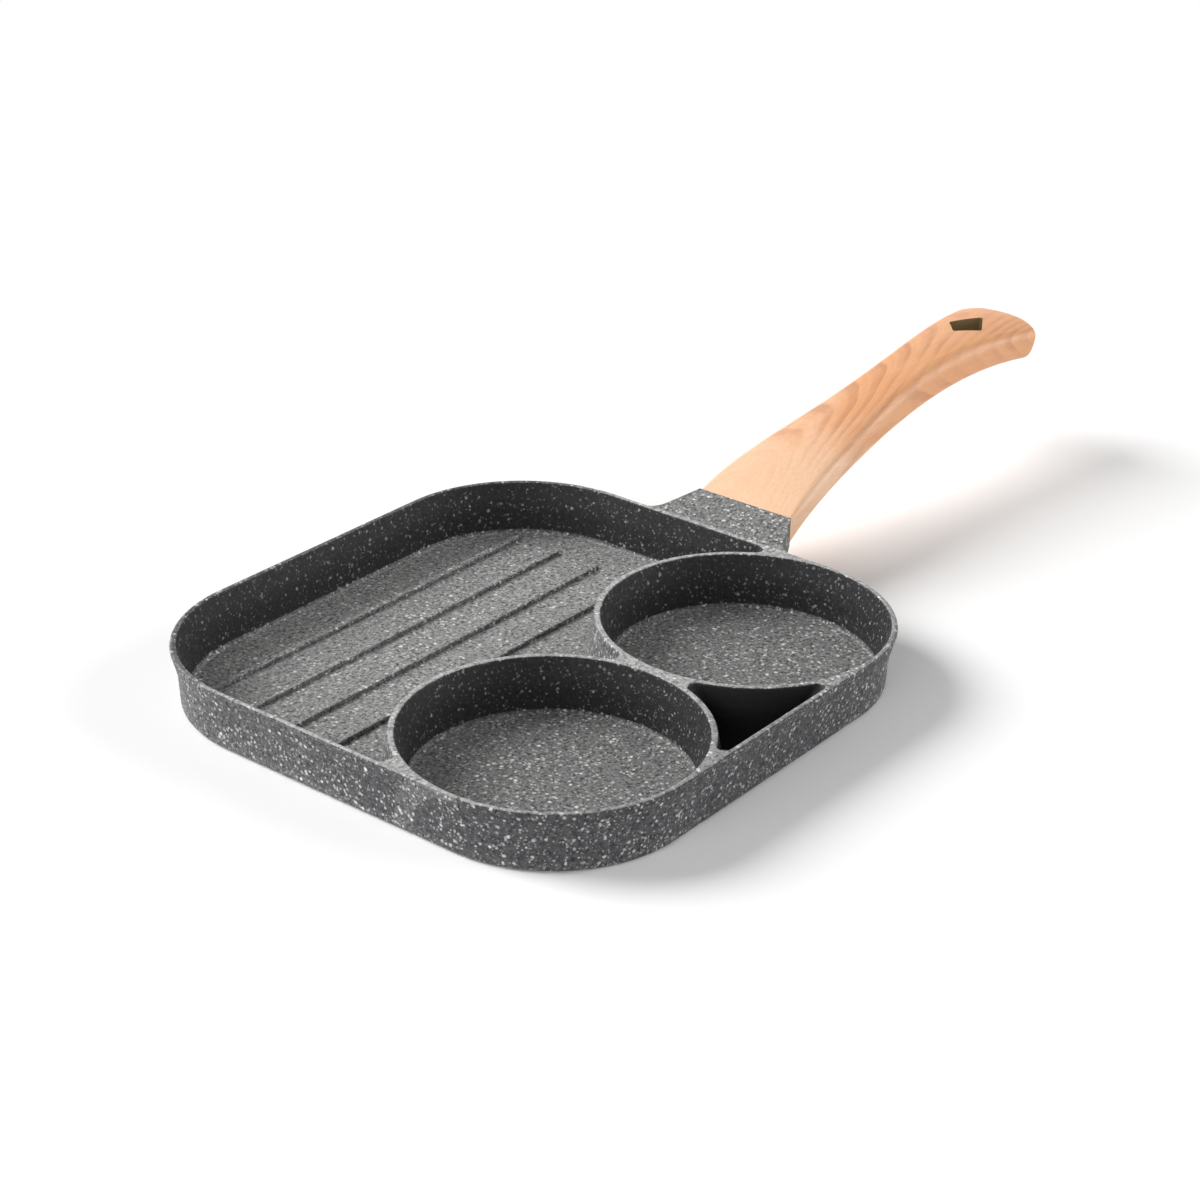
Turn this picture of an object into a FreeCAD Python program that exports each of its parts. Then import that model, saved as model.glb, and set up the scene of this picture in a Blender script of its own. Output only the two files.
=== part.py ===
import FreeCAD, Part
import math
import os
import Sketcher

# Divided frying pan: a cast body with two round cups and a ridged griddle section,
# and a moulded handle that slides over a tongue of the casting and is held by one screw.
# Millimetres. The origin is the middle of the underside, +X runs along the handle, +Z is up.

doc = FreeCAD.newDocument("DividedFryingPan")
sheet = doc.addObject("Spreadsheet::Sheet", "Dimensions")

DIMENSIONS = [
    # pan body
    ("pan_length", 195.0),
    ("pan_width", 190.0),
    ("body_height", 20.8),
    ("base_thickness", 2.5),
    ("griddle_corner_radius", 50.5),
    ("rim_wall", 2.3),
    ("wall_thickness", 2.1),
    ("lip_depth", 8.4),
    ("neck_inset", 2.3),
    ("foot_inset", 3.0),
    ("foot_radius", 2.0),
    ("neck_radius", 12.0),
    ("rim_radius", 1.0),
    ("inner_neck_radius", 25.0),
    ("crest_round", 0.8),
    ("floor_radius", 1.2),
    # cups and the walls between the sections
    ("cup_spacing", 4.4),
    ("divider_wall", 2.1),
    ("divider_flare", 1.6),
    ("divider_draft", 0.5),
    ("web_radius", 2.8),
    ("gap_corner", 2.0),
    # griddle ridges
    ("ridge_count", 4),
    ("ridge_from_cups", 13.4),
    ("ridge_from_wall", 18.6),
    ("ridge_from_sides", 21.5),
    ("ridge_width", 3.0),
    ("ridge_height", 1.4),
    ("ridge_radius", 0.8),
    # bracket
    ("bracket_length", 15.2),
    ("bracket_width", 38.6),
    ("bracket_root_width", 64.0),
    ("bracket_fillet", 8.0),
    ("bracket_rise", 4.2),
    ("bracket_thickness", 10.6),
    ("bracket_gusset", 5.4),
    # tongue and screw
    ("tongue_length", 22.0),
    ("tongue_root", 4.0),
    ("tongue_width", 18.0),
    ("tongue_thickness", 4.6),
    ("tongue_raise", 1.2),
    ("tongue_tilt", 20.0),
    ("tongue_clearance", 0.3),
    ("screw_distance", 13.0),
    ("screw_diameter", 5.0),
    ("thread_clearance", 0.1),
    ("shank_clearance", 0.3),
    ("head_diameter", 9.0),
    ("head_height", 2.6),
    ("head_round", 1.0),
    ("head_clearance", 0.5),
    ("head_seat_wall", 2.0),
    ("drive_length", 5.0),
    ("drive_width", 1.2),
    ("drive_depth", 1.3),
    # handle
    ("handle_length", 172.6),
    ("shoulder_share", 0.094),
    ("grip_share", 0.263),
    ("waist_share", 0.556),
    ("flare_share", 0.789),
    ("shoulder_width", 36.8),
    ("grip_width", 29.8),
    ("waist_width", 22.8),
    ("flare_width", 28.8),
    ("tail_width", 37.0),
    ("shoulder_rise", 7.1),
    ("grip_rise", 14.0),
    ("waist_rise", 22.6),
    ("flare_rise", 26.0),
    ("tail_rise", 23.8),
    ("shoulder_thickness", 12.6),
    ("grip_thickness", 14.2),
    ("waist_thickness", 15.6),
    ("flare_thickness", 15.8),
    ("tail_thickness", 16.4),
    ("joint_edge", 1.2),
    ("shoulder_edge", 3.2),
    ("grip_edge", 4.2),
    ("waist_edge", 5.0),
    ("flare_edge", 4.8),
    ("tail_edge", 4.2),
    ("joint_crown", 300.0),
    ("shoulder_crown", 110.0),
    ("grip_crown", 60.0),
    ("waist_crown", 45.0),
    ("flare_crown", 42.0),
    ("tail_crown", 50.0),
    ("joint_belly", 300.0),
    ("shoulder_belly", 80.0),
    ("grip_belly", 45.0),
    ("waist_belly", 32.0),
    ("flare_belly", 40.0),
    ("tail_belly", 110.0),
    ("tail_end_radius", 28.0),
    ("nose_radius", 4.0),
    ("nose_corner", 2.5),
    ("hole_from_end", 17.4),
    ("hole_length", 22.0),
    ("hole_point", 9.0),
    ("hole_width", 14.4),
    ("hole_corner", 1.0),
]

for row, (alias, value) in enumerate(DIMENSIONS, start=1):
    sheet.set("A%d" % row, alias)
    sheet.set("B%d" % row, str(value))
    sheet.setAlias("B%d" % row, alias)
doc.recompute()


class Size:
    # A length worked out from the sheet: its number now, and the expression that keeps it bound

    def __init__(self, value, text):
        self.value = float(value)
        self.text = text

    def __add__(self, other):
        other = as_size(other)
        return Size(self.value + other.value, "(%s + %s)" % (self.text, other.text))

    def __sub__(self, other):
        other = as_size(other)
        return Size(self.value - other.value, "(%s - %s)" % (self.text, other.text))

    def __mul__(self, other):
        other = as_size(other)
        return Size(self.value * other.value, "(%s * %s)" % (self.text, other.text))

    def __truediv__(self, other):
        other = as_size(other)
        return Size(self.value / other.value, "(%s / %s)" % (self.text, other.text))

    def __neg__(self):
        return Size(-self.value, "(-1 * %s)" % self.text)


def as_size(value):
    return value if isinstance(value, Size) else Size(value, str(value))


def dim(alias):
    return Size(sheet.get(alias), "Dimensions." + alias)


# Lengths that several pieces share
ZERO = Size(0.0, "0")
EDGE_TOLERANCE = 0.01
half_length = dim("pan_length") / 2
half_width = dim("pan_width") / 2
through = dim("pan_width")
rim_height = dim("body_height")
neck_height = dim("body_height") - dim("lip_depth")
floor_height = dim("base_thickness")
cup_radius = (half_length - dim("rim_wall") - dim("cup_spacing") / 2) / 2
rim_cup_corner = cup_radius + dim("rim_wall")
cup_centre_x = half_length - rim_cup_corner
cup_centre_y = half_width - rim_cup_corner
inner_neck_inset = dim("neck_inset") + dim("wall_thickness")
inner_floor_inset = dim("foot_inset") + dim("wall_thickness")
rim_web = cup_radius + dim("divider_wall")
neck_web = rim_web + dim("divider_flare")
floor_web = neck_web + dim("divider_draft")
ridge_first = floor_web - cup_centre_y + dim("ridge_from_cups")
ridge_last = half_width - inner_floor_inset - dim("ridge_from_wall")
ridge_length = dim("pan_length") - dim("ridge_from_sides") * 2
joint_x = half_length + dim("bracket_length")
joint_top = rim_height + dim("bracket_rise")
joint_bottom = joint_top - dim("bracket_thickness")
root_x = half_length - dim("rim_wall") + dim("crest_round")
deep_x = half_length - inner_floor_inset
gusset_height = neck_height - dim("bracket_gusset")
tongue_height = joint_top - dim("bracket_thickness") / 2 + dim("tongue_raise")
seat_depth = dim("tongue_thickness") / 2 + dim("tongue_clearance") + dim("head_seat_wall")


def vector(x, y, z=0.0):
    return FreeCAD.Vector(x, y, z)


def new_body(label):
    body = doc.addObject("PartDesign::Body", label)
    body.Label = label
    return body


def origin_plane(body, role):
    for feature in body.Origin.OriginFeatures:
        if getattr(feature, "Role", "") == role:
            return feature
    raise ValueError("no plane " + role)


def new_sketch(body, name, role, out=None, right=None, up=None, tilt=None):
    # A sketch on one of the body's own planes, moved out of it, along it and turned in it
    sketch = body.newObject("Sketcher::SketchObject", name)
    sketch.AttachmentSupport = [(origin_plane(body, role), "")]
    sketch.MapMode = "FlatFace"
    for axis, length in (("x", right), ("y", up), ("z", out)):
        if length is not None:
            sketch.setExpression("AttachmentOffset.Base." + axis, length.text)
    if tilt is not None:
        sketch.setExpression("AttachmentOffset.Rotation.Angle", tilt.text)
    return sketch


def bind(sketch, kind, *where, size, name):
    # A named constraint that follows the sheet
    index = sketch.addConstraint(Sketcher.Constraint(kind, *where, size.value))
    sketch.renameConstraint(index, name)
    sketch.setExpression("Constraints." + name, size.text)


def place(sketch, geometry, point, name, x=None, y=None):
    # Where a point lies from the sketch's origin
    if x is not None:
        bind(sketch, "DistanceX", -1, 1, geometry, point, size=x, name=name + "_x")
    if y is not None:
        bind(sketch, "DistanceY", -1, 1, geometry, point, size=y, name=name + "_y")


def arc(centre, radius, start, end, turn):
    # An arc from one point to the next, and whether it runs forward (anticlockwise)
    first = math.atan2(start.y - centre.y, start.x - centre.x)
    last = math.atan2(end.y - centre.y, end.x - centre.x)
    if turn < 0:
        first, last = last, first
    if last <= first:
        last += 2 * math.pi
    circle = Part.Circle(centre, vector(0, 0, 1), radius)
    return Part.ArcOfCircle(circle, first, last), turn > 0


def line(start, end):
    return Part.LineSegment(start, end), True


def closed_chain(sketch, pieces, corner=()):
    # Adds the pieces end to start. They run on smoothly, apart from the joints in corner.
    for geometry, _ in pieces:
        sketch.addGeometry(geometry)
    for index, (_, forward) in enumerate(pieces):
        following = (index + 1) % len(pieces)
        leave = 2 if forward else 1
        enter = 1 if pieces[following][1] else 2
        kind = "Coincident" if index in corner else "Tangent"
        sketch.addConstraint(Sketcher.Constraint(kind, index, leave, following, enter))


def polygon(sketch, points):
    # A closed outline of straight lines through (x, y) pairs of sizes
    corners = [vector(x.value, y.value) for x, y in points]
    pieces = [line(a, b) for a, b in zip(corners, corners[1:] + corners[:1])]
    closed_chain(sketch, pieces, corner=range(len(pieces)))
    for index, (x, y) in enumerate(points):
        place(sketch, index, 1, "point%d" % index, x=x, y=y)


def rounded_square(sketch, inset):
    # The outline of the casting: tight corners at the cups, wider ones at the griddle
    side = half_length - inset
    edge = half_width - inset
    cup_corner = rim_cup_corner - inset
    griddle_corner = dim("griddle_corner_radius") - inset
    a, b = side.value, edge.value
    c, g = cup_corner.value, griddle_corner.value
    pieces = [
        line(vector(-a + c, -b), vector(a - c, -b)),
        arc(vector(a - c, -b + c), c, vector(a - c, -b), vector(a, -b + c), 1),
        line(vector(a, -b + c), vector(a, b - g)),
        arc(vector(a - g, b - g), g, vector(a, b - g), vector(a - g, b), 1),
        line(vector(a - g, b), vector(-a + g, b)),
        arc(vector(-a + g, b - g), g, vector(-a + g, b), vector(-a, b - g), 1),
        line(vector(-a, b - g), vector(-a, -b + c)),
        arc(vector(-a + c, -b + c), c, vector(-a, -b + c), vector(-a + c, -b), 1),
    ]
    closed_chain(sketch, pieces)
    for index in (0, 4):
        sketch.addConstraint(Sketcher.Constraint("Horizontal", index))
    for index in (2, 6):
        sketch.addConstraint(Sketcher.Constraint("Vertical", index))
    place(sketch, 0, 1, "cup_edge", y=-edge)
    place(sketch, 4, 1, "griddle_edge", y=edge)
    place(sketch, 2, 1, "handle_side", x=side)
    place(sketch, 6, 1, "far_side", x=-side)
    for index, radius in ((1, cup_corner), (3, griddle_corner), (5, griddle_corner), (7, cup_corner)):
        bind(sketch, "Radius", index, size=radius, name="corner%d" % index)


def web_fillet(centre_x, radius, web, side):
    # Middle of the small round between a cup's wall (radius web) and what lies beside it
    reach = math.sqrt((web + radius) ** 2 - (centre_x - cup_centre_x.value) ** 2)
    return vector(centre_x, -cup_centre_y.value + side * reach)


def touching_point(centre, other, radius):
    # Where a circle about centre touches a circle about other
    return centre + (other - centre).normalize() * radius


def griddle_outline(sketch, inset, web):
    # The griddle section: three walls of the pan, then round the backs of both cups
    side = half_length - inset
    edge = half_width - inset
    corner = dim("griddle_corner_radius") - inset
    small = dim("web_radius")
    a, b, g = side.value, edge.value, corner.value
    w, r = web.value, small.value
    cup = vector(cup_centre_x.value, -cup_centre_y.value)
    far_cup = vector(-cup.x, cup.y)
    wedge = web_fillet(a - r, r, w, 1)
    far_wedge = vector(-wedge.x, wedge.y)
    saddle = web_fillet(0.0, r, w, 1)
    on_wedge = touching_point(cup, wedge, w)
    on_saddle = touching_point(cup, saddle, w)
    far_on_wedge = vector(-on_wedge.x, on_wedge.y)
    far_on_saddle = vector(-on_saddle.x, on_saddle.y)
    pieces = [
        line(vector(a - g, b), vector(-a + g, b)),
        arc(vector(-a + g, b - g), g, vector(-a + g, b), vector(-a, b - g), 1),
        line(vector(-a, b - g), vector(-a, far_wedge.y)),
        arc(far_wedge, r, vector(-a, far_wedge.y), far_on_wedge, 1),
        arc(far_cup, w, far_on_wedge, far_on_saddle, -1),
        arc(saddle, r, far_on_saddle, on_saddle, 1),
        arc(cup, w, on_saddle, on_wedge, -1),
        arc(wedge, r, on_wedge, vector(a, wedge.y), 1),
        line(vector(a, wedge.y), vector(a, b - g)),
        arc(vector(a - g, b - g), g, vector(a, b - g), vector(a - g, b), 1),
    ]
    closed_chain(sketch, pieces)
    sketch.addConstraint(Sketcher.Constraint("Horizontal", 0))
    for index in (2, 8):
        sketch.addConstraint(Sketcher.Constraint("Vertical", index))
    place(sketch, 0, 1, "edge", y=edge)
    place(sketch, 2, 1, "far_side", x=-side)
    place(sketch, 8, 1, "handle_side", x=side)
    place(sketch, 4, 3, "far_cup", x=-cup_centre_x, y=-cup_centre_y)
    place(sketch, 6, 3, "cup", x=cup_centre_x, y=-cup_centre_y)
    for index, radius in ((1, corner), (9, corner), (3, small), (5, small), (7, small), (4, web), (6, web)):
        bind(sketch, "Radius", index, size=radius, name="radius%d" % index)


def gap_outline(sketch, inset, web):
    # The three-sided gap between both cups and the wall beside them
    edge = half_width - inset
    small = dim("web_radius")
    acute = dim("gap_corner")
    b, w, r, c = edge.value, web.value, small.value, acute.value
    cup = vector(cup_centre_x.value, -cup_centre_y.value)
    far_cup = vector(-cup.x, cup.y)
    foot_y = -b + c
    foot_x = cup.x - math.sqrt((w + c) ** 2 - (foot_y - cup.y) ** 2)
    foot = vector(foot_x, foot_y)
    far_foot = vector(-foot_x, foot_y)
    saddle = web_fillet(0.0, r, w, -1)
    on_foot = touching_point(cup, foot, w)
    on_saddle = touching_point(cup, saddle, w)
    far_on_foot = vector(-on_foot.x, on_foot.y)
    far_on_saddle = vector(-on_saddle.x, on_saddle.y)
    pieces = [
        line(vector(-foot_x, -b), vector(foot_x, -b)),
        arc(foot, c, vector(foot_x, -b), on_foot, 1),
        arc(cup, w, on_foot, on_saddle, -1),
        arc(saddle, r, on_saddle, far_on_saddle, 1),
        arc(far_cup, w, far_on_saddle, far_on_foot, -1),
        arc(far_foot, c, far_on_foot, vector(-foot_x, -b), 1),
    ]
    closed_chain(sketch, pieces)
    sketch.addConstraint(Sketcher.Constraint("Horizontal", 0))
    place(sketch, 0, 1, "edge", y=-edge)
    place(sketch, 2, 3, "cup", x=cup_centre_x, y=-cup_centre_y)
    place(sketch, 4, 3, "far_cup", x=-cup_centre_x, y=-cup_centre_y)
    for index, radius in ((1, acute), (3, small), (5, acute), (2, web), (4, web)):
        bind(sketch, "Radius", index, size=radius, name="radius%d" % index)


def edges_where(shape, test):
    # Names of the edges whose two ends and middle all pass the test
    names = []
    for index, edge in enumerate(shape.Edges, start=1):
        middle = edge.valueAt((edge.FirstParameter + edge.LastParameter) / 2)
        if all(test(point) for point in [middle] + [vertex.Point for vertex in edge.Vertexes]):
            names.append("Edge%d" % index)
    return names


def at_height(height):
    return lambda point: abs(point.z - height.value) < EDGE_TOLERANCE


def fillet(body, name, test, radius):
    # Rounds the edges of the body's last feature that pass the test
    doc.recompute()
    base = body.Tip
    feature = body.newObject("PartDesign::Fillet", name)
    feature.Base = (base, edges_where(base.Shape, test))
    feature.setExpression("Radius", radius.text)
    return feature


def loft(body, name, kind, sketches, ruled):
    feature = body.newObject("PartDesign::" + kind, name)
    feature.Profile = sketches[0]
    feature.Sections = sketches[1:]
    feature.Ruled = ruled
    for sketch in sketches:
        sketch.Visibility = False
    return feature


def taper(shift, depth):
    # The draft angle of a wall that moves sideways by shift over a depth
    angle = math.degrees(math.atan2(shift.value, depth.value))
    return Size(angle, "atan(%s / %s)" % (shift.text, depth.text))


def extrude(body, kind, name, sketch, length, draft=None, midplane=False, backward=False):
    feature = body.newObject("PartDesign::" + kind, name)
    feature.Profile = sketch
    feature.setExpression("Length", length.text)
    feature.Midplane = midplane
    feature.Reversed = backward
    if draft is not None:
        feature.setExpression("TaperAngle", draft.text)
    sketch.Visibility = False
    return feature


def turn(body, kind, name, sketch, angle=360):
    # A turn about the sketch's own upright axis, half to each side of the sketch
    feature = body.newObject("PartDesign::" + kind, name)
    feature.Profile = sketch
    feature.ReferenceAxis = (sketch, ["V_Axis"])
    feature.Angle = angle
    feature.Midplane = angle < 360
    sketch.Visibility = False
    return feature


def cast_shell(body):
    # The outside of the casting: a wall with a little draft, then a lip that flares out to the rim
    foot = new_sketch(body, "foot_outline", "XY_Plane")
    rounded_square(foot, dim("foot_inset"))
    wall_draft = taper(dim("foot_inset") - dim("neck_inset"), neck_height)
    extrude(body, "Pad", "lower_wall", foot, neck_height, draft=wall_draft)
    neck = new_sketch(body, "neck_outline", "XY_Plane", out=neck_height)
    rounded_square(neck, dim("neck_inset"))
    lip_draft = taper(dim("neck_inset"), dim("lip_depth"))
    extrude(body, "Pad", "lip", neck, dim("lip_depth"), draft=lip_draft)
    fillet(body, "foot_round", at_height(ZERO), dim("foot_radius"))
    fillet(body, "neck_round", at_height(neck_height), dim("neck_radius"))
    fillet(body, "rim_round", at_height(rim_height), dim("rim_radius"))


def bracket_plan(sketch):
    # Seen from above: narrow at the joint, spreading through a round into the wall
    radius = dim("bracket_fillet")
    spread = dim("bracket_root_width") / 2
    tip = dim("bracket_width") / 2
    r = radius.value
    centre = vector(root_x.value + r, spread.value)
    corner = vector(joint_x.value, tip.value)
    away = centre - corner
    swing = math.asin(r / away.Length)
    heading = math.atan2(away.y, away.x) + swing
    reach = math.sqrt(away.Length ** 2 - r ** 2)
    on_side = corner + vector(math.cos(heading), math.sin(heading)) * reach
    on_wall = vector(root_x.value, centre.y)
    inside = vector(deep_x.value, centre.y)

    def mirrored(point):
        return vector(point.x, -point.y)

    pieces = [
        line(mirrored(corner), corner),
        line(corner, on_side),
        arc(centre, r, on_side, on_wall, -1),
        line(on_wall, inside),
        line(inside, mirrored(inside)),
        line(mirrored(inside), mirrored(on_wall)),
        arc(mirrored(centre), r, mirrored(on_wall), mirrored(on_side), -1),
        line(mirrored(on_side), mirrored(corner)),
    ]
    closed_chain(sketch, pieces, corner=(0, 2, 3, 4, 5, 7))
    sketch.addConstraint(Sketcher.Constraint("Vertical", 0))
    sketch.addConstraint(Sketcher.Constraint("Vertical", 4))
    sketch.addConstraint(Sketcher.Constraint("Horizontal", 3))
    sketch.addConstraint(Sketcher.Constraint("Horizontal", 5))
    sketch.addConstraint(Sketcher.Constraint("Horizontal", 2, 3, 3, 1))
    sketch.addConstraint(Sketcher.Constraint("Horizontal", 6, 3, 5, 2))
    place(sketch, 0, 1, "near_tip", x=joint_x, y=-tip)
    place(sketch, 0, 2, "far_tip", y=tip)
    place(sketch, 4, 1, "inside", x=deep_x)
    place(sketch, 2, 3, "far_round", x=root_x + radius, y=spread)
    place(sketch, 6, 3, "near_round", x=root_x + radius, y=-spread)
    bind(sketch, "Radius", 2, size=radius, name="far_radius")
    bind(sketch, "Radius", 6, size=radius, name="near_radius")


def add_bracket(body):
    # The arm that carries the handle rises from the rim to the joint
    plan = new_sketch(body, "bracket_outline", "XY_Plane", out=gusset_height)
    bracket_plan(plan)
    extrude(body, "Pad", "bracket", plan, joint_top - gusset_height)
    above = new_sketch(body, "bracket_top", "XZ_Plane")
    polygon(above, [
        (deep_x, rim_height),
        (root_x, rim_height),
        (joint_x, joint_top),
        (joint_x, joint_top + dim("bracket_rise")),
        (deep_x, joint_top + dim("bracket_rise")),
    ])
    extrude(body, "Pocket", "bracket_slope", above, through, midplane=True)
    below = new_sketch(body, "bracket_underside", "XZ_Plane")
    polygon(below, [
        (root_x, gusset_height),
        (root_x, ZERO),
        (joint_x, ZERO),
        (joint_x, joint_bottom),
    ])
    extrude(body, "Pocket", "bracket_gusset", below, through, midplane=True)


def cut_cups(body):
    # One cup is turned about its own axis and mirrored into the other
    section = new_sketch(body, "cup_section", "XZ_Plane", out=cup_centre_y, right=cup_centre_x)
    polygon(section, [
        (ZERO, floor_height),
        (rim_cup_corner - inner_floor_inset, floor_height),
        (rim_cup_corner - inner_neck_inset, neck_height),
        (cup_radius, rim_height),
        (ZERO, rim_height),
    ])
    cup = turn(body, "Groove", "cup", section)
    doc.recompute()
    pair = body.newObject("PartDesign::Mirrored", "second_cup")
    pair.Originals = [cup]
    pair.MirrorPlane = (origin_plane(body, "YZ_Plane"), [""])
    body.Tip = pair


def cut_down(body, name, outline, floor):
    # An opening between the walls, narrowing from the rim past the neck to its floor
    levels = [
        ("rim", rim_height, dim("rim_wall"), rim_web),
        ("neck", neck_height, inner_neck_inset, neck_web),
        ("floor", floor, inner_floor_inset, floor_web),
    ]
    sketches = []
    for level, height, inset, web in levels:
        sketch = new_sketch(body, name + "_" + level, "XY_Plane", out=height)
        outline(sketch, inset, web)
        sketches.append(sketch)
    loft(body, name, "SubtractiveLoft", sketches, ruled=True)


def inside_walls(height, inset):
    # Edges at a height on the inner faces only
    level = at_height(height)
    side = half_length.value - inset.value + EDGE_TOLERANCE
    edge = half_width.value - inset.value + EDGE_TOLERANCE
    return lambda point: level(point) and abs(point.x) < side and abs(point.y) < edge


def cut_sections(body):
    cut_cups(body)
    cut_down(body, "griddle", griddle_outline, floor_height)
    cut_down(body, "gap", gap_outline, ZERO)
    fillet(body, "inner_neck_round", inside_walls(neck_height, inner_neck_inset), dim("inner_neck_radius"))
    fillet(body, "floor_round", at_height(floor_height), dim("floor_radius"))
    fillet(body, "crest_round", inside_walls(rim_height, dim("rim_wall")), dim("crest_round"))


def slot_outline(sketch, middle_y, length, width):
    # A long outline with round ends
    half = (length - width) / 2
    radius = width / 2
    a, r, y = half.value, radius.value, middle_y.value
    pieces = [
        line(vector(-a, y - r), vector(a, y - r)),
        arc(vector(a, y), r, vector(a, y - r), vector(a, y + r), 1),
        line(vector(a, y + r), vector(-a, y + r)),
        arc(vector(-a, y), r, vector(-a, y + r), vector(-a, y - r), 1),
    ]
    closed_chain(sketch, pieces)
    sketch.addConstraint(Sketcher.Constraint("Horizontal", 0))
    place(sketch, 1, 3, "end", x=half, y=middle_y)
    place(sketch, 3, 3, "start", x=-half)
    bind(sketch, "Radius", 1, size=radius, name="end_radius")


def add_ridges(body):
    first = new_sketch(body, "ridge_outline", "XY_Plane", out=floor_height)
    slot_outline(first, ridge_first, ridge_length, dim("ridge_width"))
    ridge = extrude(body, "Pad", "ridge", first, dim("ridge_height"))
    doc.recompute()
    row = body.newObject("PartDesign::LinearPattern", "ridges")
    row.Originals = [ridge]
    row.Direction = (origin_plane(body, "Y_Axis"), [""])
    row.setExpression("Length", (ridge_last - ridge_first).text)
    row.setExpression("Occurrences", "Dimensions.ridge_count")
    body.Tip = row
    ridge_top = floor_height + dim("ridge_height")
    fillet(body, "ridge_round", at_height(ridge_top), dim("ridge_radius"))


def along_tongue(distance):
    # A point on the tongue's middle line, which climbs with the handle
    slope = math.radians(sheet.get("tongue_tilt"))
    right = Size(distance.value * math.cos(slope), "%s * cos(Dimensions.tongue_tilt)" % distance.text)
    up = Size(distance.value * math.sin(slope), "%s * sin(Dimensions.tongue_tilt)" % distance.text)
    return joint_x + right, tongue_height + up


def tongue_section(body, name, clearance):
    # Side view of the tongue, or of its socket when there is a clearance
    right, up = along_tongue(ZERO)
    sketch = new_sketch(body, name, "XZ_Plane", right=right, up=up, tilt=dim("tongue_tilt"))
    half = dim("tongue_thickness") / 2 + clearance
    tip = dim("tongue_length") + clearance
    polygon(sketch, [
        (-dim("tongue_root"), -half),
        (tip, -half),
        (tip, half),
        (-dim("tongue_root"), half),
    ])
    return sketch


def screw_sketch(body, name):
    right, up = along_tongue(dim("screw_distance"))
    return new_sketch(body, name, "XZ_Plane", right=right, up=up, tilt=dim("tongue_tilt"))


def add_tongue(body):
    # The tongue that the handle slides over, with the threaded hole for the screw
    side = tongue_section(body, "tongue_side", ZERO)
    extrude(body, "Pad", "tongue", side, dim("tongue_width"), midplane=True)
    bore = screw_sketch(body, "tongue_hole_section")
    radius = (dim("screw_diameter") + dim("thread_clearance")) / 2
    polygon(bore, [
        (ZERO, -dim("tongue_thickness")),
        (radius, -dim("tongue_thickness")),
        (radius, dim("tongue_thickness")),
        (ZERO, dim("tongue_thickness")),
    ])
    turn(body, "Groove", "tongue_hole", bore)


def build_pan():
    body = new_body("pan_body")
    cast_shell(body)
    add_bracket(body)
    cut_sections(body)
    add_ridges(body)
    add_tongue(body)
    return body


def handle_section(body, name, station, width, top, thickness):
    # One cross-section: a crowned top, a rounder underside and upright sides
    sketch = new_sketch(body, name + "_section", "YZ_Plane", out=joint_x + station)
    edge = dim(name + "_edge")
    crown = dim(name + "_crown")
    belly = dim(name + "_belly")
    half = width / 2
    bottom = top - thickness
    w, r = half.value, edge.value
    high, low = top.value - crown.value, bottom.value + belly.value
    over, under = vector(0, high), vector(0, low)
    upper_y = high + math.sqrt((crown.value - r) ** 2 - (w - r) ** 2)
    lower_y = low - math.sqrt((belly.value - r) ** 2 - (w - r) ** 2)
    upper = vector(w - r, upper_y)
    lower = vector(w - r, lower_y)
    on_top = touching_point(over, upper, crown.value)
    on_belly = touching_point(under, lower, belly.value)

    def mirrored(point):
        return vector(-point.x, point.y)

    pieces = [
        arc(under, belly.value, mirrored(on_belly), on_belly, 1),
        arc(lower, r, on_belly, vector(w, lower_y), 1),
        line(vector(w, lower_y), vector(w, upper_y)),
        arc(upper, r, vector(w, upper_y), on_top, 1),
        arc(over, crown.value, on_top, mirrored(on_top), 1),
        arc(mirrored(upper), r, mirrored(on_top), vector(-w, upper_y), 1),
        line(vector(-w, upper_y), vector(-w, lower_y)),
        arc(mirrored(lower), r, vector(-w, lower_y), mirrored(on_belly), 1),
    ]
    closed_chain(sketch, pieces)
    for index in (2, 6):
        sketch.addConstraint(Sketcher.Constraint("Vertical", index))
    place(sketch, 0, 3, "belly", x=ZERO, y=bottom + belly)
    place(sketch, 4, 3, "crown", x=ZERO, y=top - crown)
    place(sketch, 2, 1, "right", x=half)
    place(sketch, 6, 1, "left", x=-half)
    bind(sketch, "Radius", 0, size=belly, name="belly_radius")
    bind(sketch, "Radius", 4, size=crown, name="crown_radius")
    for index in (1, 3, 5, 7):
        bind(sketch, "Radius", index, size=edge, name="edge%d" % index)
    return sketch


def handle_blank(body):
    # The moulding swells behind the joint, thins at the waist and widens again to its end
    sections = [handle_section(body, "joint", ZERO, dim("bracket_width"), joint_top, dim("bracket_thickness"))]
    for name in ("shoulder", "grip", "waist", "flare", "tail"):
        share = as_size(1) if name == "tail" else dim(name + "_share")
        station = dim("handle_length") * share
        top = joint_top + dim(name + "_rise")
        sections.append(handle_section(body, name, station, dim(name + "_width"), top, dim(name + "_thickness")))
    loft(body, "blank", "AdditiveLoft", sections, ruled=False)


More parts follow.
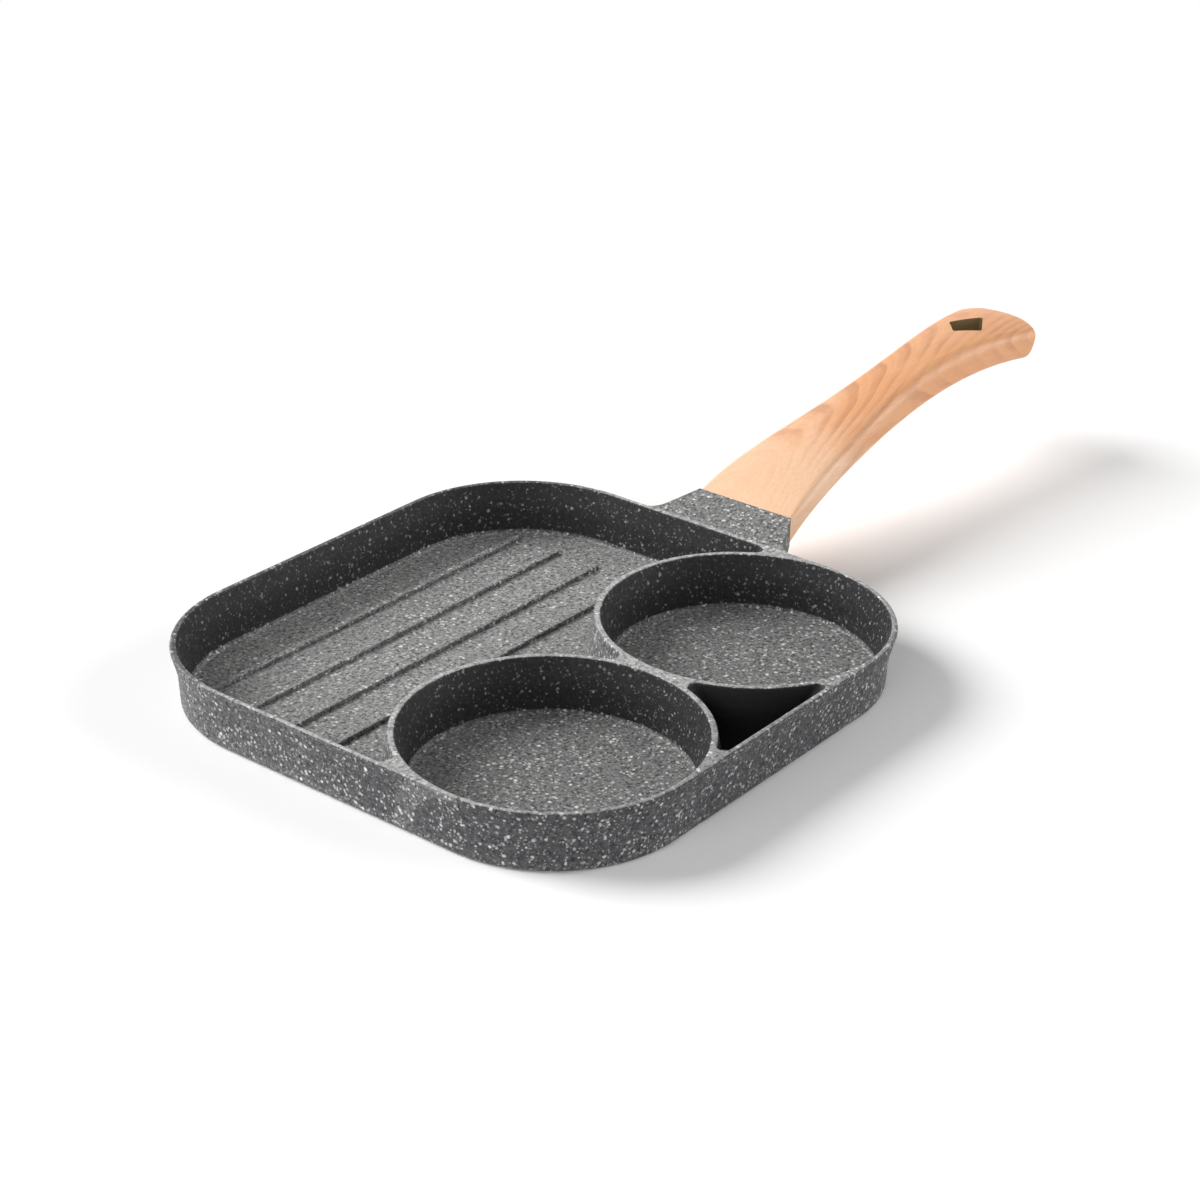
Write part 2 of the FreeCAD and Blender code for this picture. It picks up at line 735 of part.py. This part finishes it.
def round_tail(body):
    # The end is turned about an upright axis to a nose: a tight round above, a wide one below
    radius = dim("tail_end_radius")
    upper = dim("nose_radius")
    lower = dim("tail_thickness") - upper
    top = joint_top + dim("tail_rise")
    level = top - upper
    above = top + upper
    below = level - lower - upper
    inner = radius / 10
    outer = radius * 1.5
    section = new_sketch(body, "nose_section", "XZ_Plane", right=joint_x + dim("handle_length") - radius)
    tip = vector(radius.value, level.value)
    upper_end = vector(tip.x - upper.value, top.value)
    lower_end = vector(tip.x - lower.value, tip.y - lower.value)
    near_top = vector(inner.value, above.value)
    near_bottom = vector(inner.value, below.value)
    far_bottom = vector(outer.value, below.value)
    far_top = vector(outer.value, above.value)
    pieces = [
        line(near_top, upper_end),
        arc(vector(upper_end.x, tip.y), upper.value, upper_end, tip, -1),
        arc(vector(lower_end.x, tip.y), lower.value, tip, lower_end, -1),
        line(lower_end, near_bottom),
        line(near_bottom, far_bottom),
        line(far_bottom, far_top),
        line(far_top, near_top),
    ]
    closed_chain(section, pieces, corner=(0, 2, 3, 4, 5, 6))
    place(section, 0, 1, "near_top", x=inner, y=above)
    place(section, 1, 3, "upper", x=radius - upper, y=level)
    place(section, 1, 2, "upper_end", x=radius - upper)
    place(section, 2, 3, "lower", y=level)
    place(section, 2, 1, "lower_end", x=radius - lower)
    place(section, 4, 1, "near_bottom", x=inner, y=below)
    place(section, 5, 1, "far_bottom", x=outer, y=below)
    place(section, 6, 1, "far_top", x=outer, y=above)
    bind(section, "Radius", 1, size=upper, name="upper_radius")
    bind(section, "Radius", 2, size=lower, name="lower_radius")
    turn(body, "Groove", "nose", section, angle=180)
    beyond = (joint_x + dim("handle_length") - radius / 2).value
    beside = (dim("tail_width") / 2 - dim("tail_edge")).value
    fillet(body, "nose_corners_round", lambda point: point.x > beyond and abs(point.y) > beside, dim("nose_corner"))


def hang_hole(body):
    # A four-sided hole, pointed along the handle
    end = joint_x + dim("handle_length") - dim("hole_from_end")
    start = end - dim("hole_length")
    middle = start + dim("hole_point")
    half = dim("hole_width") / 2
    corners = [(start, ZERO), (middle, -half), (end, ZERO), (middle, half)]
    plan = new_sketch(body, "hole_outline", "XY_Plane")
    polygon(plan, corners)
    extrude(body, "Pocket", "hanging_hole", plan, through, midplane=True)

    def on_corner(point):
        return any(math.hypot(point.x - x.value, point.y - y.value) < EDGE_TOLERANCE for x, y in corners)

    fillet(body, "hole_corners_round", on_corner, dim("hole_corner"))


def handle_socket(body):
    # The pocket for the tongue, and the stepped hole for the screw from below
    side = tongue_section(body, "socket_side", dim("tongue_clearance"))
    width = dim("tongue_width") + dim("tongue_clearance") * 2
    extrude(body, "Pocket", "socket", side, width, midplane=True)
    hole = screw_sketch(body, "screw_hole_section")
    shank = (dim("screw_diameter") + dim("shank_clearance")) / 2
    recess = (dim("head_diameter") + dim("head_clearance")) / 2
    deep = seat_depth + dim("bracket_thickness")
    polygon(hole, [
        (ZERO, -deep),
        (recess, -deep),
        (recess, -seat_depth),
        (shank, -seat_depth),
        (shank, ZERO),
        (ZERO, ZERO),
    ])
    turn(body, "Groove", "screw_hole", hole)


def build_handle():
    body = new_body("handle")
    handle_blank(body)
    round_tail(body)
    hang_hole(body)
    handle_socket(body)
    return body


def build_screw():
    # Drawn upright about the tongue's middle line, then leant over with the tongue
    body = new_body("handle_screw")
    shank = dim("screw_diameter") / 2
    head = dim("head_diameter") / 2
    section = new_sketch(body, "screw_section", "XZ_Plane")
    low = -seat_depth - dim("head_height")
    tip = dim("tongue_thickness") / 2
    polygon(section, [
        (ZERO, low),
        (head, low),
        (head, -seat_depth),
        (shank, -seat_depth),
        (shank, tip),
        (ZERO, tip),
    ])
    turn(body, "Revolution", "screw", section)
    fillet(body, "head_round", at_height(low), dim("head_round"))
    drive = new_sketch(body, "drive_outline", "XY_Plane", out=low)
    arm, width = dim("drive_length") / 2, dim("drive_width") / 2
    polygon(drive, [
        (arm, -width), (arm, width), (width, width), (width, arm),
        (-width, arm), (-width, width), (-arm, width), (-arm, -width),
        (-width, -width), (-width, -arm), (width, -arm), (width, -width),
    ])
    extrude(body, "Pocket", "cross_recess", drive, dim("drive_depth"), backward=True)
    right, up = along_tongue(dim("screw_distance"))
    body.Placement = FreeCAD.Placement(vector(0, 0), FreeCAD.Rotation(vector(0, -1), 1))
    body.setExpression("Placement.Base.x", right.text)
    body.setExpression("Placement.Base.z", up.text)
    body.setExpression("Placement.Rotation.Angle", "Dimensions.tongue_tilt")
    return body


def check_and_write(bodies):
    # Nothing is written unless every object was recomputed and every shape is sound
    doc.recompute()
    for item in doc.Objects:
        if "Invalid" in item.State or "Error" in item.State:
            raise RuntimeError("%s failed: %s" % (item.Name, item.State))
    for body in bodies:
        if body.Shape.isNull() or not body.Shape.isValid():
            raise RuntimeError(body.Label + " has no sound shape")
    os.makedirs("parts", exist_ok=True)
    for body in bodies:
        shape = body.Shape
        shape.exportStep("parts/%s.step" % body.Label)
        box = shape.BoundBox
        print("%s: %d solid, %.0f mm3, %.1f x %.1f x %.1f mm" % (
            body.Label, len(shape.Solids), shape.Volume, box.XLength, box.YLength, box.ZLength))


check_and_write([build_pan(), build_handle(), build_screw()])
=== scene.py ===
import bpy
import math
import mathutils
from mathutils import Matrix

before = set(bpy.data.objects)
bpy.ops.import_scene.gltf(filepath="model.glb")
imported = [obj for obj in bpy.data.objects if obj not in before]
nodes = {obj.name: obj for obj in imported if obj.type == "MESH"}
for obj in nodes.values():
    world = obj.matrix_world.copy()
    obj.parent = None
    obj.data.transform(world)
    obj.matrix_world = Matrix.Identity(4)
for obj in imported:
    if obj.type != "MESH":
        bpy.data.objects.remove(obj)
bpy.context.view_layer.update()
print("frame loaded:", ", ".join(sorted(nodes)))

# camera: where it stands round the pan, and what it looks at (degrees and metres, millimetres for the lens)
cameraSetup = {
    "azimuth": -142.22,
    "elevation": 26.30,
    "roll": 1.29,
    "distance": 0.8436,
    "target": (0.02834, -0.00293, 0.02022),
    "lens": 78.31,
    "sensor": 36.0,
    "clipStart": 0.02,
}


def addCamera(setup):
    az, el, roll = (math.radians(setup[key]) for key in ("azimuth", "elevation", "roll"))
    back = mathutils.Vector((math.cos(az) * math.cos(el), math.sin(az) * math.cos(el), math.sin(el)))
    right = mathutils.Vector((-math.sin(az), math.cos(az), 0.0))
    up = back.cross(right)
    # the picture is turned a little about the line of sight
    xAxis = right * math.cos(roll) + up * math.sin(roll)
    yAxis = up * math.cos(roll) - right * math.sin(roll)
    turn = mathutils.Matrix((xAxis, yAxis, back)).transposed()
    stand = mathutils.Matrix.Translation(mathutils.Vector(setup["target"]) + back * setup["distance"])
    camera = bpy.data.objects.new("camera", bpy.data.cameras.new("camera"))
    camera.data.sensor_width = setup["sensor"]
    camera.data.lens = setup["lens"]
    camera.data.clip_start = setup["clipStart"]
    camera.matrix_world = stand @ turn.to_4x4()
    bpy.context.scene.collection.objects.link(camera)
    bpy.context.scene.camera = camera


addCamera(cameraSetup)
print("camera placed")


class Graph:
    # a short way to write the nodes of a material or of the surround

    def __init__(self, owner):
        owner.use_nodes = True
        self.owner = owner
        self.tree = owner.node_tree
        self.shader = self.tree.nodes.get("Principled BSDF")

    def put(self, node, key, value):
        if value is None:
            return
        if isinstance(value, bpy.types.NodeSocket):
            self.tree.links.new(value, node.inputs[key])
        else:
            node.inputs[key].default_value = value

    def node(self, kind, settings=None, **inputs):
        made = self.tree.nodes.new("ShaderNode" + kind)
        for key, value in (settings or {}).items():
            setattr(made, key, value)
        for key, value in inputs.items():
            self.put(made, key.replace("_", " "), value)
        return made

    def math(self, operation, first, second=None, third=None):
        made = self.node("Math", {"operation": operation})
        for index, value in enumerate((first, second, third)):
            self.put(made, index, value)
        return made.outputs[0]

    def vector(self, operation, first, second=None, result="Vector"):
        made = self.node("VectorMath", {"operation": operation})
        for index, value in enumerate((first, second)):
            self.put(made, index, value)
        return made.outputs[result]

    def parts(self, vector):
        # the x, y and z of a vector
        return self.node("SeparateXYZ", Vector=vector).outputs

    def millimetres(self):
        # object coordinates in millimetres
        place = self.node("TexCoord").outputs["Object"]
        return self.vector("MULTIPLY", place, (1000.0, 1000.0, 1000.0))

    def noise(self, place, scale, detail=3.0, rough=0.55):
        made = self.node("TexNoise", Vector=place, Scale=scale, Detail=detail, Roughness=rough)
        return made.outputs["Fac"]

    def ramp(self, value, low, high, toLow=0.0, toHigh=1.0, smooth=True):
        made = self.node("MapRange", {"interpolation_type": "SMOOTHSTEP" if smooth else "LINEAR"})
        limits = {"From Min": low, "From Max": high, "To Min": toLow, "To Max": toHigh}
        for key, put in {"Value": value, **limits}.items():
            self.put(made, key, put)
        return made.outputs["Result"]

    def blend(self, amount, first, second):
        made = self.node("Mix", {"data_type": "RGBA"})
        # inputs 6 and 7 and output 2 are the node's sockets for colours
        self.put(made, 0, amount)
        self.put(made, 6, first)
        self.put(made, 7, second)
        return made.outputs[2]

    def bump(self, height, distance, strength):
        made = self.node("Bump", Height=height, Distance=distance, Strength=strength)
        self.put(self.shader, "Normal", made.outputs["Normal"])

    def finish(self, **inputs):
        for key, value in inputs.items():
            self.put(self.shader, key.replace("_", " "), value)
        return self.owner


def newMaterial(name):
    return Graph(bpy.data.materials.new(name))


# studio: a wide soft light from behind the ridged section, weaker low ones from the far end and from the
# cups' side, and a white surround (metres, degrees for the spread)
studio = {
    "floorSize": 8.0,
    "floorColor": 0.80,
    "floorShown": 1.0,
    "floorRoughness": 0.9,
    "shadowReach": (0.30, 0.62),
    "worldStrength": 0.21,
    "lights": (
        {"name": "keyLight", "from": (-0.42, 1.00, 0.66), "spread": 36.0, "strength": 3.75},
        {"name": "leftLight", "from": (-1.0, -0.1, 0.28), "spread": 55.0, "strength": 1.35},
        {"name": "rightLight", "from": (0.85, -1.0, 0.30), "spread": 50.0, "strength": 2.20},
    ),
}


def shownToEye(graph):
    # 1 where the camera, a reflection or a glass sees the surface, 0 for the light that it gives
    path = graph.node("LightPath").outputs
    seen = graph.math("MAXIMUM", path["Is Camera Ray"], path["Is Glossy Ray"])
    return graph.math("MAXIMUM", seen, path["Is Transmission Ray"])


def addSurround(setup):
    world = bpy.data.worlds.new("surround")
    bpy.context.scene.world = world
    graph = Graph(world)
    background = graph.tree.nodes["Background"]
    strength = graph.ramp(shownToEye(graph), 0.0, 1.0, setup["worldStrength"], 1.0, smooth=False)
    graph.put(background, "Color", (1.0, 1.0, 1.0, 1.0))
    graph.put(background, "Strength", strength)


def paleFloor(setup):
    graph = newMaterial("paleFloor")
    eye = shownToEye(graph)
    # a pale grey for the light that it gives back, and white to the eye
    tone = graph.ramp(eye, 0.0, 1.0, setup["floorColor"], setup["floorShown"], smooth=False)
    graph.finish(Base_Color=tone, Roughness=setup["floorRoughness"], Specular_IOR_Level=0.0)
    # beyond the shadow it is plain white, for the eye only
    away = graph.vector("LENGTH", graph.node("TexCoord").outputs["Object"], result="Value")
    beyond = graph.ramp(away, *setup["shadowReach"])
    mixed = graph.node("MixShader")
    graph.put(mixed, 0, graph.math("MULTIPLY", beyond, eye))
    graph.put(mixed, 1, graph.shader.outputs[0])
    graph.put(mixed, 2, graph.node("Emission").outputs[0])
    graph.put(graph.tree.nodes["Material Output"], "Surface", mixed.outputs[0])
    return graph.owner


def addFloor(setup):
    half = setup["floorSize"] / 2
    mesh = bpy.data.meshes.new("floor")
    corners = [(-half, -half, 0), (half, -half, 0), (half, half, 0), (-half, half, 0)]
    mesh.from_pydata(corners, [], [(0, 1, 2, 3)])
    mesh.materials.append(paleFloor(setup))
    floor = bpy.data.objects.new("floor", mesh)
    bpy.context.scene.collection.objects.link(floor)


def addLight(name, place, spread, strength):
    lamp = bpy.data.lights.new(name, "SUN")
    lamp.angle = math.radians(spread)
    lamp.energy = strength
    light = bpy.data.objects.new(name, lamp)
    light.location = place
    light.rotation_euler = (-mathutils.Vector(place)).to_track_quat("-Z", "Y").to_euler()
    bpy.context.scene.collection.objects.link(light)


addSurround(studio)
addFloor(studio)
for light in studio["lights"]:
    addLight(light["name"], light["from"], light["spread"], light["strength"])
bpy.context.scene.view_settings.view_transform = "Standard"
print("studio ready")

# stone coating: charcoal ground under a haze of fine grains and a spray of light grains in four sizes
# (millimetres). Most of the spray lies on what faces up, some on the outer walls and little on the inner,
# which makes the inner walls darker: partly painted shade.
coating = {
    "groundDark": (0.006, 0.006, 0.007, 1.0),
    "groundLight": (0.017, 0.017, 0.019, 1.0),
    "outerGround": (0.040, 0.040, 0.052, 1.0),
    "mottleScale": 0.8,
    "mottle": (0.35, 0.65),
    "haze": (0.240, 0.238, 0.234),
    "hazeScale": 0.75,
    "hazeFrom": (0.30, 0.62),
    "hazeThin": 5.0,
    # the haze tone is raised on the ridged section, so its floor comes out lighter than the cups'
    "griddleHaze": 1.50,
    "griddleFrom": (-25.0, 20.0),
    "griddleEnd": (98.0, 94.0),
    # thin says how fast a size gets rarer where little of the spray was caught
    "flecks": (
        {"cell": 0.80, "share": 0.86, "radius": 0.64, "thin": 0.7,
         "dim": (0.13, 0.13, 0.135, 1.0), "bright": (0.42, 0.415, 0.405, 1.0)},
        {"cell": 1.20, "share": 0.86, "radius": 0.60, "thin": 1.4,
         "dim": (0.26, 0.26, 0.262, 1.0), "bright": (0.68, 0.675, 0.665, 1.0)},
        {"cell": 1.75, "share": 0.76, "radius": 0.50, "thin": 2.2,
         "dim": (0.40, 0.40, 0.395, 1.0), "bright": (0.86, 0.855, 0.845, 1.0)},
        {"cell": 2.60, "share": 0.62, "radius": 0.36, "thin": 2.8,
         "dim": (0.55, 0.55, 0.54, 1.0), "bright": (0.98, 0.98, 0.97, 1.0)},
    ),
    "soft": 0.28,
    "fleckHeight": 0.25,
    # flecks on the inner walls stay faint, as painted shade
    "faint": 0.30,
    "faintFrom": (0.35, 1.0),
    "ragged": 0.40,
    "raggedScale": 1.1,
    # where the spray is caught: what faces up, the outer wall, the inner walls and their feet; the inner
    # walls' small share is partly painted shade
    "facesUp": (0.45, 0.85),
    "raggedEdge": 0.55,
    "raggedEdgeScale": 0.9,
    "outwardFrom": (68.0, 80.0),
    "armFrom": (96.0, 97.5),
    "outerSpray": 0.80,
    "innerSprayAndShade": 0.45,
    "lowSpray": 0.40,
    "lowHeight": (4.2, 3.4),
    # the far side of the cup walls: painted shade in the gap, which gets no flecks and the darkest ground;
    # the ridged section's side is well covered
    "cup": (48.65, -46.15, 0.0),
    "cupRadius": (47.2, 48.2),
    "gapFrom": (-56.0, -60.0),
    "gapShadeStrength": 0.9,
    "dividerSpray": 0.93,
    "dividerReach": (51.5, 50.5),
    "dividerFrom": (-56.0, -50.0),
    # painted highlight on the tops of the walls, weaker at the front; along the back of the ridged section
    # the tops get none and fewer flecks
    "paintedHighlight": (0.56, 0.555, 0.55, 1.0),
    "crestFaces": (0.70, 0.99),
    "crestHeight": (19.5, 20.4),
    "crestEnd": (97.0, 96.4),
    "crestCover": (0.10, 0.75),
    "crestFrom": (-95.0, -50.0),
    "frontCrest": 0.35,
    "plainFrom": (25.0, 75.0),
    "plainCrest": 0.80,
    "bump": (0.00012, 0.8),
    "roughScale": 0.6,
    "roughness": (0.48, 0.66),
    "specular": 0.24,
}


def outerShare(graph, facing, place, lies, setup):
    # 1 on the walls that face away from the pan's middle, and on the arm
    flat = graph.vector("MULTIPLY", place, (1.0, 1.0, 0.0))
    outward = graph.vector("DOT_PRODUCT", facing, flat, result="Value")
    return graph.math("MAXIMUM", graph.ramp(outward, *setup["outwardFrom"]),
                      graph.ramp(lies["X"], *setup["armFrom"]))


def cupSides(graph, lies, setup):
    # the walls of the gap, where shade is painted, and the cup walls where they face the ridged section
    folded = graph.node("CombineXYZ", X=graph.math("ABSOLUTE", lies["X"]), Y=lies["Y"]).outputs[0]
    apart = graph.vector("DISTANCE", folded, setup["cup"], result="Value")
    past = graph.ramp(apart, *setup["cupRadius"])
    gapShade = graph.math("MULTIPLY", past, graph.ramp(lies["Y"], *setup["gapFrom"]))
    beside = graph.math("MULTIPLY", past, graph.ramp(apart, *setup["dividerReach"]))
    beside = graph.math("MULTIPLY", beside, graph.ramp(lies["Y"], *setup["dividerFrom"]))
    return gapShade, beside


def crests(graph, faces, lies, setup):
    # the tops of the walls, where the highlight is painted, and the plainer ones among them, which get none
    top = graph.math("MULTIPLY", graph.ramp(faces["Z"], *setup["crestFaces"]),
                     graph.ramp(lies["Z"], *setup["crestHeight"]))
    top = graph.math("MULTIPLY", top, graph.ramp(lies["X"], *setup["crestEnd"]))
    plain = graph.math("MULTIPLY", top, graph.ramp(lies["Y"], *setup["plainFrom"]))
    return top, plain


def sprayShadeAndHighlight(graph, place, setup):
    # how much of the spray a surface has caught, from where it faces and where it lies; this holds painted
    # shade on the inner walls and in the gap, and the mask of the painted highlight on the wall tops
    facing = graph.node("TexCoord").outputs["Normal"]
    faces = graph.parts(facing)
    lies = graph.parts(place)
    uneven = graph.math("SUBTRACT", graph.noise(place, setup["raggedEdgeScale"], 2.0), 0.5)
    uneven = graph.math("MULTIPLY", uneven, setup["raggedEdge"])
    upward = graph.ramp(graph.math("ADD", faces["Z"], uneven), *setup["facesUp"])
    outer = outerShare(graph, facing, place, lies, setup)
    gapShade, beside = cupSides(graph, lies, setup)
    foot = setup["innerSprayAndShade"] + setup["lowSpray"]
    # the inner walls' small share darkens them: partly painted shade
    inner = graph.ramp(lies["Z"], *setup["lowHeight"], setup["innerSprayAndShade"], foot)
    inner = graph.math("MULTIPLY", inner, graph.math("SUBTRACT", 1.0, gapShade))
    side = graph.math("MAXIMUM", inner, graph.math("MULTIPLY", outer, setup["outerSpray"]))
    side = graph.math("MAXIMUM", side, graph.math("MULTIPLY", beside, setup["dividerSpray"]))
    top, plain = crests(graph, faces, lies, setup)
    caughtAndShaded = graph.math("MAXIMUM", upward, side)
    caughtAndShaded = graph.math("MULTIPLY", caughtAndShaded,
                        graph.ramp(plain, 0.0, 1.0, 1.0, setup["plainCrest"], smooth=False))
    paintedHighlight = graph.math("MULTIPLY", graph.math("SUBTRACT", top, plain),
                       graph.ramp(lies["Y"], *setup["crestFrom"], setup["frontCrest"], 1.0))
    outside = graph.math("MULTIPLY", outer, graph.math("SUBTRACT", 1.0, upward))
    return caughtAndShaded, paintedHighlight, gapShade, outside


def hazeTone(graph, place, setup):
    lies = graph.parts(place)
    inside = graph.math("MULTIPLY", graph.ramp(lies["Y"], *setup["griddleFrom"]),
                        graph.ramp(lies["X"], *setup["griddleEnd"]))
    thick = graph.ramp(inside, 0.0, 1.0, 1.0, setup["griddleHaze"], smooth=False)
    thick = graph.node("CombineXYZ", X=thick, Y=thick, Z=thick).outputs[0]
    return graph.vector("MULTIPLY", thick, setup["haze"])


def raggedPlace(graph, place, setup):
    # shifts the flecks' places a little, so that their edges aren't round
    wander = graph.node("TexNoise", Vector=place, Scale=setup["raggedScale"], Detail=2.0).outputs["Color"]
    shift = graph.vector("SUBTRACT", wander, (0.5, 0.5, 0.5))
    return graph.vector("ADD", place, graph.vector("MULTIPLY", shift, (setup["ragged"] * 2,) * 3))


def flecksOf(graph, place, sprayAndShade, fleck, soft):
    # a fleck sits in some of the cells, each with its own radius and its own lightness
    cells = graph.node("TexVoronoi", {"voronoi_dimensions": "3D", "feature": "F1"},
                       Vector=place, Scale=1.0 / fleck["cell"])
    chance = graph.node("SeparateColor", Color=cells.outputs["Color"]).outputs
    bare = graph.math("SUBTRACT", 1.0, graph.math("MULTIPLY", sprayAndShade, fleck["share"]))
    size = graph.ramp(chance["Red"], bare, 1.0, 0.0, fleck["radius"], smooth=False)
    edge = graph.math("SUBTRACT", size, cells.outputs["Distance"])
    return graph.ramp(edge, 0.0, soft), graph.blend(chance["Green"], fleck["dim"], fleck["bright"])


def stoneCoating(setup):
    graph = newMaterial("stoneCoating")
    place = graph.millimetres()
    sprayAndShade, paintedHighlight, gapShade, outside = sprayShadeAndHighlight(graph, place, setup)
    mottle = graph.noise(place, setup["mottleScale"], 3.0, 0.65)
    light = graph.blend(outside, setup["groundLight"], setup["outerGround"])
    color = graph.blend(graph.ramp(mottle, *setup["mottle"]), setup["groundDark"], light)
    dust = graph.ramp(graph.noise(place, setup["hazeScale"], 5.0, 0.72), *setup["hazeFrom"])
    dust = graph.math("MULTIPLY", dust, graph.math("POWER", sprayAndShade, setup["hazeThin"]))
    color = graph.blend(dust, color, hazeTone(graph, place, setup))
    height = graph.noise(place, 2.2, 3.0, 0.6)
    # flecks on the inner walls are dimmed: painted shade
    clear = graph.ramp(sprayAndShade, *setup["faintFrom"], setup["faint"], 1.0)
    ragged = raggedPlace(graph, place, setup)
    for fleck in setup["flecks"]:
        thinned = graph.math("POWER", sprayAndShade, fleck["thin"])
        mask, tone = flecksOf(graph, ragged, thinned, fleck, setup["soft"])
        color = graph.blend(graph.math("MULTIPLY", mask, clear), color, tone)
        height = graph.math("MULTIPLY_ADD", mask, setup["fleckHeight"], height)
    cover = graph.ramp(mottle, *setup["mottle"], *setup["crestCover"])
    # painted highlight on the tops of the walls, broken up by the mottle
    color = graph.blend(graph.math("MULTIPLY", paintedHighlight, cover), color, setup["paintedHighlight"])
    # painted shade: the bare walls of the gap are darkened towards the darkest ground
    bare = graph.math("MULTIPLY", gapShade, graph.math("SUBTRACT", 1.0, sprayAndShade))
    color = graph.blend(graph.math("MULTIPLY", bare, setup["gapShadeStrength"]), color, setup["groundDark"])
    roughness = graph.ramp(graph.noise(place, setup["roughScale"]), 0.3, 0.7, *setup["roughness"])
    graph.bump(height, *setup["bump"])
    return graph.finish(Base_Color=color, Roughness=roughness, Specular_IOR_Level=setup["specular"])


# wood look: arched growth lines that point to the tail, with their crowns near the left edge (millimetres)
wood = {
    "pale": (0.84, 0.535, 0.345, 1.0),
    "light": (0.75, 0.365, 0.170, 1.0),
    "dark": (0.50, 0.215, 0.095, 1.0),
    "paleReach": (122.0, 205.0),
    "cloud": 0.25,
    "crown": 8.0,
    "arch": 0.26,
    "slope": 2.6,
    "wander": 34.0,
    "wanderScale": 0.035,
    "waver": 5.0,
    "waverScale": 0.22,
    # each line darkens slowly and ends at once, and finer ones lie between
    "late": {"pitch": 25.0, "rise": (0.25, 0.88), "fall": 0.90},
    "fine": {"pitch": 7.75, "rise": (0.30, 0.80), "fall": 0.85},
    "fineShare": 0.22,
    "lines": 0.62,
    "fade": (0.36, 0.62, 0.25, 1.0),
    "faintEnd": (264.0, 284.0, 1.0, 0.45),
    "faintNear": (128.0, 165.0, 0.22, 1.0),
    "fibres": (0.35, 0.75, 0.0, 0.20),
    "hole": (254.9, 0.0, 0.0),
    "holeReach": (9.0, 13.0, 7.2),
    "paintedHoleShade": (0.20, 0.145, 0.065, 1.0),
    "bump": (0.00004, 0.5),
    "roughness": (0.38, 0.52),
    "specular": 0.45,
}


def inHole(graph, place, setup):
    # 1 on the walls of the four-sided hole, where shade is painted, 0 on the surface round it
    lies = graph.parts(graph.vector("SUBTRACT", place, setup["hole"]))
    back, ahead, half = setup["holeReach"]
    along = graph.math("MAXIMUM", graph.math("DIVIDE", lies["X"], -back),
                       graph.math("DIVIDE", lies["X"], ahead))
    across = graph.math("DIVIDE", graph.math("ABSOLUTE", lies["Y"]), half)
    within = graph.ramp(graph.math("ADD", along, across), 1.10, 1.04)
    upright = graph.parts(graph.node("TexCoord").outputs["Normal"])["Z"]
    return graph.math("MULTIPLY", within, graph.ramp(graph.math("ABSOLUTE", upright), 0.7, 0.4))


def growth(graph, place, stretched, setup):
    # how far a point lies along the grown layers, whose lines arch over the crown
    lies = graph.parts(place)
    aside = graph.math("SUBTRACT", lies["Y"], setup["crown"])
    grown = graph.math("MULTIPLY_ADD", graph.math("MULTIPLY", aside, aside), setup["arch"], lies["X"])
    grown = graph.math("MULTIPLY_ADD", lies["Z"], setup["slope"], grown)
    wander = graph.noise(stretched, setup["wanderScale"], 2.0, 0.5)
    grown = graph.math("MULTIPLY_ADD", wander, setup["wander"], grown)
    waver = graph.noise(stretched, setup["waverScale"], 3.0, 0.6)
    return graph.math("MULTIPLY_ADD", waver, setup["waver"], grown)


def growthLine(graph, grown, shape):
    ring = graph.math("FRACT", graph.math("DIVIDE", grown, shape["pitch"]))
    return graph.math("MULTIPLY", graph.ramp(ring, *shape["rise"]), graph.ramp(ring, 1.0, shape["fall"]))


def woodLook(setup):
    graph = newMaterial("woodLook")
    place = graph.millimetres()
    along = graph.parts(place)["X"]
    stretched = graph.vector("MULTIPLY", place, (0.35, 1.0, 1.0))
    grown = growth(graph, place, stretched, setup)
    band = graph.math("MULTIPLY_ADD", growthLine(graph, grown, setup["fine"]), setup["fineShare"],
                      growthLine(graph, grown, setup["late"]))
    # the lines fade here and there, at the joint and at the tail
    strength = graph.ramp(graph.noise(stretched, 0.06), *setup["fade"])
    for stretch in ("faintNear", "faintEnd"):
        strength = graph.math("MULTIPLY", strength, graph.ramp(along, *setup[stretch]))
    band = graph.math("MULTIPLY", band, strength)
    fibre = graph.noise(graph.vector("MULTIPLY", place, (0.10, 1.0, 1.0)), 1.5, 4.0, 0.6)
    cloud = graph.ramp(graph.noise(stretched, 0.09), 0.30, 0.70, -setup["cloud"], setup["cloud"])
    far = graph.math("ADD", graph.ramp(along, *setup["paleReach"]), cloud)
    color = graph.blend(graph.ramp(far, 0.0, 1.0), setup["pale"], setup["light"])
    color = graph.blend(graph.math("MULTIPLY", band, setup["lines"]), color, setup["dark"])
    color = graph.blend(graph.ramp(fibre, *setup["fibres"]), color, setup["dark"])
    # painted shade on the walls of the hole
    color = graph.blend(inHole(graph, place, setup), color, setup["paintedHoleShade"])
    graph.bump(fibre, *setup["bump"])
    roughness = graph.ramp(fibre, 0.3, 0.7, *setup["roughness"])
    return graph.finish(Base_Color=color, Roughness=roughness, Specular_IOR_Level=setup["specular"])


# the screw: plated steel with a fine grain
plating = {
    "color": (0.56, 0.56, 0.57, 1.0),
    "grainScale": 3.0,
    "bump": (0.00003, 0.4),
    "roughness": (0.22, 0.38),
}


def screwSteel(setup):
    graph = newMaterial("screwSteel")
    grain = graph.noise(graph.millimetres(), setup["grainScale"], 4.0, 0.6)
    graph.bump(grain, *setup["bump"])
    roughness = graph.ramp(grain, 0.3, 0.7, *setup["roughness"])
    return graph.finish(Base_Color=setup["color"], Metallic=1.0, Roughness=roughness)


def dress(node, material):
    mesh = nodes[node].data
    mesh.materials.clear()
    mesh.materials.append(material)


dress("pan_body", stoneCoating(coating))
dress("handle", woodLook(wood))
dress("handle_screw", screwSteel(plating))
print("materials given")
